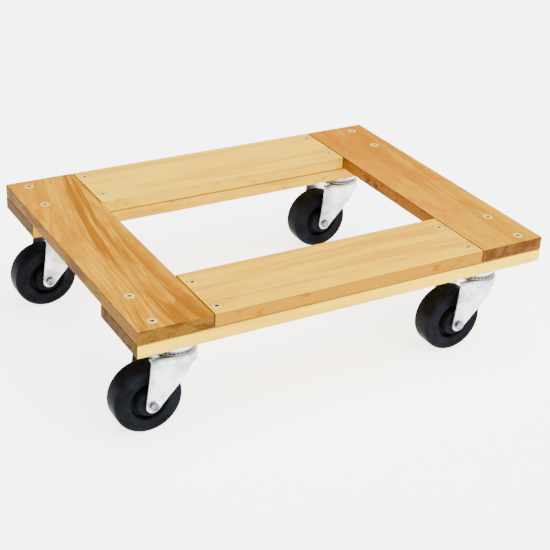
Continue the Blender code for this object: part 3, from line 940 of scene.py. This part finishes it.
wheelShape = {
    "radius": 0.0635,
    "treadHalf": 0.0145,
    "treadFall": (0.6, 0.0001),
    "shoulder": 0.0088,
    "crown": 0.0003,
    "rimRadius": 0.0352,
    "web": 0.0122,
    "bossRadius": 0.0250,
    "bossReach": 0.0060,
    "hubEnd": 0.0135,
    "bore": 0.0085,
    # Corners of the section, as steps outwards and sideways from each sharp corner
    "groove": ((0.0498, 0.0), (0.0494, -0.0005), (0.0484, -0.0005), (0.0480, 0.0)),
    "rimLip": ((0.0030, 0.0), (0.0010, -0.0007), (0.0, -0.0026)),
    "rimFoot": ((-0.0008, 0.0022), (-0.0028, 0.0)),
    "bossFoot": ((0.0022, 0.0), (0.0006, 0.0014)),
    "bossLip": ((0.0, -0.0014), (-0.0012, 0.0)),
    "hubFoot": ((0.0012, 0.0), (0.0, 0.0008)),
    "hubLip": ((0.0, -0.0006), (-0.0006, 0.0)),
    "shoulderSteps": 10,
    "steps": 128,
    "sharpAngle": 50.0,
}


def makeWheel():
    w = wheelShape
    side = w["treadHalf"] + w["shoulder"]
    bossSide = side + w["bossReach"]
    hubSide = shared["legHalfWidth"] - shared["sheet"] - shared["gap"]
    fallPlace, fall = w["treadFall"]
    shoulderMiddle = (w["treadHalf"], w["radius"] - w["crown"] - w["shoulder"])
    shoulder = arc(shoulderMiddle, w["shoulder"], 90.0, 0.0, w["shoulderSteps"])
    half = [
        (w["radius"], 0.0),
        (w["radius"] - fall, w["treadHalf"] * fallPlace),
        *((radius, y) for y, radius in shoulder),
        *around((0.0, side), w["groove"]),
        *around((w["rimRadius"], side), w["rimLip"]),
        *around((w["rimRadius"], w["web"]), w["rimFoot"]),
        *around((w["bossRadius"], w["web"]), w["bossFoot"]),
        *around((w["bossRadius"], bossSide), w["bossLip"]),
        *around((w["hubEnd"], bossSide), w["hubFoot"]),
        *around((w["hubEnd"], hubSide), w["hubLip"]),
        (w["bore"], hubSide),
    ]
    other = [(radius, -y) for radius, y in reversed(half[1:])]
    wheel = spun("wheel", other + half, w["steps"], closed=True, alongY=True)
    wheel.data.transform(toAxle)
    return shadeEvenly(wheel, w["sharpAngle"])


hexShape = {"flatShare": 0.4, "past": 0.0002, "steps": 48}
threads = {"pitch": 0.0015, "depth": 0.0005, "endDepth": 0.0006}


def hexPrism(name, width, low, high, chamfer):
    # A hexagon with its corners turned off at both ends
    wide = width / math.sqrt(3)
    prism = slab(name, arc((0.0, 0.0), wide, 0.0, 300.0, 5), low, high)
    flat, outside = width / 2 - chamfer * hexShape["flatShare"], wide + hexShape["past"]
    profile = [
        (0.0, high),
        (flat, high),
        (outside, high - chamfer),
        (outside, low + chamfer),
        (flat, low),
        (0.0, low),
    ]
    return combine(prism, [spun("turnedOff", profile, hexShape["steps"])], "INTERSECT")


def threadProfile(radius, low, high):
    # Ridges down a bolt's tail, listed downwards
    pitch = threads["pitch"]
    profile, z = [], high
    while z - pitch > low:
        profile += [(radius, z), (radius - threads["depth"], z - pitch / 2)]
        z -= pitch
    return profile + [(radius, z), (radius - threads["endDepth"], low)]


mountingBoltShape = {
    "headEdge": ((-0.0006, 0.0), (0.0, -0.0004)),
    "nutWidth": 0.0145,
    "nutHeight": 0.0060,
    "nutChamfer": 0.0008,
    "belowNut": 0.0010,
    "endChamfer": 0.0004,
    "ringInNut": 0.0010,
    "slot": {
        "length": 0.0104, "width": 0.0024, "depth": 0.0028,
        "above": 0.002, "floorShare": 0.45, "turn": 20.0,
    },
    "pit": {"floor": 0.0014, "mouth": 0.0046, "depth": 0.0030, "above": 0.001, "steps": 24},
    "steps": 40,
}


def makeMountingBolt():
    b = mountingBoltShape
    top = shared["deckTop"] - boltHeads["recess"]
    radius, shank = boltHeads["radius"], boltHeads["shank"]
    headLow = top - boltHeads["rim"]
    nutTop = shared["plateLow"] - shared["gap"]
    nutLow = nutTop - b["nutHeight"]
    end = nutLow - b["belowNut"]
    profile = [
        (0.0, top),
        *around((radius, top), b["headEdge"]),
        (radius, headLow),
        (shank, headLow - (radius - shank)),
        (shank, nutLow + b["ringInNut"]),
        (shank, end + b["endChamfer"]),
        (shank - b["endChamfer"], end),
        (0.0, end),
    ]
    bolt = spun("mountingBolt", profile, b["steps"])
    slot, pit = b["slot"], b["pit"]
    reach, half, floor = slot["length"] / 2, slot["width"] / 2, top - slot["depth"]
    cutters = []
    for quarter in (0.0, 90.0):
        cutter = block("driveSlot", (-reach, -half, floor), (reach, half, top + slot["above"]))
        for vertex in cutter.data.vertices:
            if vertex.co.z < top:
                vertex.co.x *= slot["floorShare"]
        cutter.data.transform(Matrix.Rotation(math.radians(quarter + slot["turn"]), 4, "Z"))
        cutters.append(cutter)
    ends = (top - pit["depth"], top + pit["above"])
    cutters.append(rod("drivePit", pit["floor"], *ends, pit["steps"], radiusTop=pit["mouth"]))
    nut = hexPrism("nut", b["nutWidth"], nutLow, nutTop, b["nutChamfer"])
    combine(bolt, cutters)
    combine(bolt, [nut], "UNION")
    return shadeEvenly(bolt)


plateShape = {
    "margin": 0.0115,
    "cornerRadius": 0.01,
    "cornerSteps": 8,
    "edge": {"width": 0.0008, "segments": 2, "angle": 60.0},
    "dishFloor": 0.0045,
    "bore": 0.0063,
    # Radius and height, from the plate's underside or top and from the dish's underside
    "dishShoulder": ((0.0468, 0.0025), (0.0468, 0.0), (0.0452, -0.0006), (0.0442, -0.0024)),
    "dishFoot": ((0.0427, 0.0022), (0.0418, 0.0006), (0.0402, 0.0)),
    "hollowMouth": ((0.0412, 0.01), (0.0412, 0.0), (0.0392, -0.0016)),
    "hollowFloor": ((0.0361, 0.0055), (0.0345, 0.0045)),
    "dishSteps": 96,
    "holeSteps": 32,
}


def makePlate():
    p = plateShape
    low, top, dishLow = shared["plateLow"], shared["plateTop"], shared["dishLow"]
    inX = shared["boltSpacingX"] / 2 + p["margin"] - p["cornerRadius"]
    inY = shared["boltSpacingY"] / 2 + p["margin"] - p["cornerRadius"]
    outline = []
    for sideX, sideY, start in ((1, 1, 0), (-1, 1, 90), (-1, -1, 180), (1, -1, 270)):
        centre = (sideX * inX, sideY * inY)
        outline += arc(centre, p["cornerRadius"], start, start + 90, p["cornerSteps"])
    plate = slab("plate", outline, low, top)
    softenEdges(plate, **p["edge"])
    shoulder = around((0.0, low), p["dishShoulder"])
    foot = around((0.0, dishLow), p["dishFoot"])
    dishProfile = [(0.0, shoulder[0][1]), *shoulder, *foot, (0.0, foot[-1][1])]
    dish = spun("dish", dishProfile, p["dishSteps"])
    mouth = around((0.0, top), p["hollowMouth"])
    floor = around((0.0, dishLow), p["hollowFloor"])
    hollowProfile = [(0.0, mouth[0][1]), *mouth, *floor, (0.0, floor[-1][1])]
    hollow = spun("hollow", hollowProfile, p["dishSteps"])
    holeRadius, ends = boltHeads["shank"] + shared["gap"], (low - past, top + past)
    holes = [rod("hole", holeRadius, *ends, p["holeSteps"], place[:2]) for place in boltPlaces()]
    bore = rod("bore", p["bore"], dishLow - past, dishLow + past, p["holeSteps"])
    combine(plate, [dish], "UNION")
    combine(plate, [hollow, bore, *holes])
    return shadeEvenly(plate)


raceShape = {
    "outer": 0.0405,
    "width": 0.0090,
    "height": 0.0090,
    "cupEdge": ((-0.0002, 0.0), (0.0, -0.0008)),
    "cupLip": ((-0.0004, 0.0016), (-0.0016, 0.0013), (-0.0024, 0.0022)),
    "cupInside": ((0.0010, 0.0022),),
    "ballRadius": 0.0031,
    "ballInset": 0.0007,
    "balls": 34,
    "steps": 96,
}


def makeRace():
    # Two pressed cups with the ring of balls showing between them
    r = raceShape
    outer, inner = r["outer"], r["outer"] - r["width"]
    low, high = shared["raceLow"], shared["raceLow"] + r["height"]
    middle = (low + high) / 2
    upper = [
        *around((outer, high), r["cupEdge"]),
        *around((outer, middle), r["cupLip"]),
        *around((inner, middle), r["cupInside"]),
        (inner, high),
    ]
    lower = [(radius, low + high - z) for radius, z in reversed(upper)]
    shape = bmesh.new()
    for profile in (upper, lower):
        cup = spun("cup", profile, r["steps"], closed=True)
        shape.from_mesh(cup.data)
        bpy.data.objects.remove(cup)
    ballRing = outer - r["ballRadius"] - r["ballInset"]
    for number in range(r["balls"]):
        angle = 2 * math.pi * number / r["balls"]
        place = Vector((math.cos(angle), math.sin(angle), 0.0)) * ballRing
        place.z = middle
        spot = Matrix.Translation(place)
        bmesh.ops.create_icosphere(shape, subdivisions=2, radius=r["ballRadius"], matrix=spot)
    return shadeEvenly(pieceFrom(shape, "ballRace"))


kingShape = {
    "shank": 0.0060,
    # The head's outline, as radius and height above its seat
    "headTop": ((0.0, 0.0065), (0.0086, 0.0065), (0.0108, 0.0055), (0.0118, 0.0040)),
    "headSide": ((0.0120, 0.0026), (0.0120, 0.0)),
    "threadStart": 0.0005,
    "nutWidth": 0.0210,
    "nutHeight": 0.0080,
    "nutChamfer": 0.0012,
    "nutHole": 0.0063,
    "tail": 0.0015,
    "steps": 48,
    "holeSteps": 40,
}


def makeKingBolt():
    k = kingShape
    seat = shared["dishLow"] + plateShape["dishFloor"] + shared["gap"]
    end = shared["crownLow"] - shared["gap"] - k["nutHeight"] - k["tail"]
    profile = [
        *around((0.0, seat), k["headTop"] + k["headSide"]),
        (k["shank"], seat),
        *threadProfile(k["shank"], end, shared["crownLow"] - k["threadStart"]),
        (0.0, end),
    ]
    return shadeEvenly(spun("kingBolt", profile, k["steps"]))


def makeKingNut():
    k = kingShape
    top = shared["crownLow"] - shared["gap"]
    low = top - k["nutHeight"]
    nut = hexPrism("kingNut", k["nutWidth"], low, top, k["nutChamfer"])
    combine(nut, [rod("threadHole", k["nutHole"], low - past, top + past, k["holeSteps"])])
    return shadeEvenly(nut)


axleShape = {
    "shank": 0.0050,
    "intoHead": 0.002,
    "threadStart": 0.001,
    "hexWidth": 0.0150,
    "headHeight": 0.0058,
    "nutHeight": 0.0080,
    "chamfer": 0.0010,
    "nutHole": 0.0053,
    "tail": 0.0030,
    "steps": 40,
}


def makeAxleBolt():
    # Head on the front side, shank through both legs, threads past the nut
    a = axleShape
    seat = shared["legHalfWidth"] + shared["gap"]
    end = seat + a["nutHeight"] + a["tail"]
    profile = [
        (0.0, seat + a["intoHead"]),
        (a["shank"], seat + a["intoHead"]),
        (a["shank"], -seat),
        *threadProfile(a["shank"], -end, -seat - a["threadStart"]),
        (0.0, -end),
    ]
    bolt = spun("axleBolt", profile, a["steps"])
    head = hexPrism("head", a["hexWidth"], seat, seat + a["headHeight"], a["chamfer"])
    combine(bolt, [head], "UNION")
    bolt.data.transform(toAxle @ layDown)
    return shadeEvenly(bolt)


def makeAxleNut():
    a = axleShape
    high = -shared["legHalfWidth"] - shared["gap"]
    low = high - a["nutHeight"]
    nut = hexPrism("axleNut", a["hexWidth"], low, high, a["chamfer"])
    combine(nut, [rod("threadHole", a["nutHole"], low - past, high + past, a["steps"])])
    nut.data.transform(toAxle @ layDown)
    return shadeEvenly(nut)


casterPieces = {
    # kind: (maker, finish, body ending, slot)
    "plate": (makePlate, "brightZinc", None, "zinc"),
    "ball_race": (makeRace, "darkRace", None, "race_steel"),
    "king_bolt": (makeKingBolt, "axleZinc", None, "bolt_steel"),
    "king_nut": (makeKingNut, "axleZinc", None, "bolt_steel"),
    "fork": (makeFork, "brightZinc", "swivel", "zinc"),
    "axle_bolt": (makeAxleBolt, "axleZinc", "swivel", "bolt_steel"),
    "axle_nut": (makeAxleNut, "axleZinc", "swivel", "bolt_steel"),
    "wheel": (makeWheel, "blackWheel", "roller", "black_tread"),
}

for kind, (maker, finish, ending, slotName) in casterPieces.items():
    master = maker()
    for corner in corners:
        node = f"{corner}_{kind}"
        body = f"{corner}_{ending}" if ending else "deck"
        piece = copyTo(master, camel(node), kingpin(corner))
        dress(piece, finishes[finish], body, node)
    bpy.data.objects.remove(master)

mountingBolt = makeMountingBolt()
for corner in corners:
    for number, place in enumerate(boltPlaces(), start=1):
        node = f"{corner}_bolt_{number}"
        piece = copyTo(mountingBolt, camel(node), kingpin(corner) + Vector(place))
        dress(piece, finishes["boltZinc"], "deck", node)
bpy.data.objects.remove(mountingBolt)

for corner in corners:
    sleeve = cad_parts[f"{corner}_axle_sleeve"]
    for holder in sleeve.material_slots:
        holder.material = finishes["turnedSleeve"]
